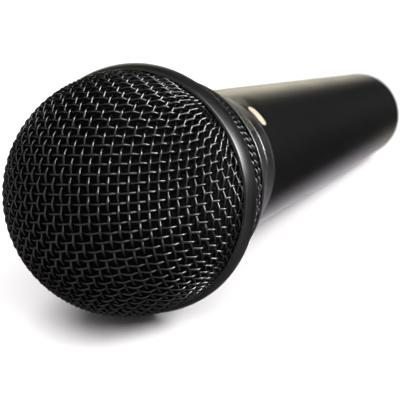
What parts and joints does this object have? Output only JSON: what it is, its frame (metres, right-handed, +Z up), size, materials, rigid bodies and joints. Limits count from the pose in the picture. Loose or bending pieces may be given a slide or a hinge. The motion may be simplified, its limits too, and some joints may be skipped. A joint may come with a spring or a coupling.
{
  "type": "handheld dynamic microphone",
  "caption": "Handheld microphone with a round woven wire grille that unscrews from a long tapered handle, a moving coil capsule inside, and a three contact cable socket in the tail.",
  "frame": {"origin": "on the microphone's axis, in the plane where the two meshes meet inside the grille's widest ring", "axes": "+Y along the axis from the grille to the cable socket, so the grille's front points to -Y; +Z up, at right angles to the line through contacts 1 and 2; +X right, on contact 2's side"},
  "size_m": [0.05, 0.1717, 0.05],
  "materials": {
    "black_wire": "satin black lacquer on woven steel wire",
    "black_paint": "fine satin black paint",
    "black_collar": "satin black, lightly worn edges",
    "black_foam": "open cell foam",
    "gasket_black": "matt",
    "cream_ink": "cream inlay",
    "dark_screw": "blackened steel",
    "capsule_plastic": "moulded",
    "silk": "fine woven screen",
    "film": "clear amber film",
    "copper_coil": "enamelled copper wire",
    "brass_ring": "turned",
    "felt": "pressed felt",
    "plated_iron": "zinc plated",
    "magnet_grey": "sintered, nickel plated",
    "rubber_mount": "matt",
    "board": "phenolic board",
    "solder_tin": "tinned",
    "wire_red": "wire insulation",
    "wire_white": "wire insulation",
    "nickel_shell": "satin nickel plate",
    "insulator_black": "moulded",
    "pin_silver": "silver plated brass"
  },
  "bodies": {
    "handle": {"handle": "black_paint", "address_mark": "cream_ink", "lock_screw": "dark_screw", "capsule_basket": "capsule_plastic", "resonator_cap": "capsule_plastic", "dust_screen": "silk", "diaphragm_clamp_ring": "brass_ring", "damping_felt": "felt", "pole_piece": "plated_iron", "magnet": "magnet_grey", "yoke_cup": "plated_iron", "rear_chamber": "capsule_plastic", "shock_mount": "rubber_mount", "terminal_board": "board", "solder_lugs": "solder_tin", "lead_red": "wire_red", "lead_white": "wire_white", "wire_damper": "black_foam", "socket_shell": "nickel_shell", "socket_insulator": "insulator_black", "contact_pin_1": "pin_silver", "contact_pin_2": "pin_silver", "contact_pin_3": "pin_silver"},
    "gasket": {"seat_gasket": "gasket_black"},
    "grille": {"front_mesh": "black_wire", "rear_mesh": "black_wire", "grille_ring": "black_collar", "mesh_clamp_ring": "black_collar", "front_foam": "black_foam", "rear_foam": "black_foam", "base_ring": "black_collar", "thread_collar": "black_collar"},
    "diaphragm": {"diaphragm": "film", "voice_coil": "copper_coil"}
  },
  "joints": [
    {"name": "grille_lift", "type": "slide", "parent": "handle", "child": "gasket", "axis": [0, -1, 0], "range_m": [0, 0.0063]},
    {"name": "grille_unscrew", "type": "hinge", "parent": "gasket", "child": "grille", "pos_m": [0, 0, 0], "axis": [0, -1, 0], "range_deg": [0, 1800]},
    {"name": "diaphragm_travel", "type": "slide", "parent": "handle", "child": "diaphragm", "axis": [0, -1, 0], "range_m": [-0.0003, 0.0003], "stiffness_N_per_m": 60}
  ],
  "couplings": [
    {"joint": "grille_lift", "follows": "grille_unscrew", "m_per_rad": 0.00019894}
  ]
}
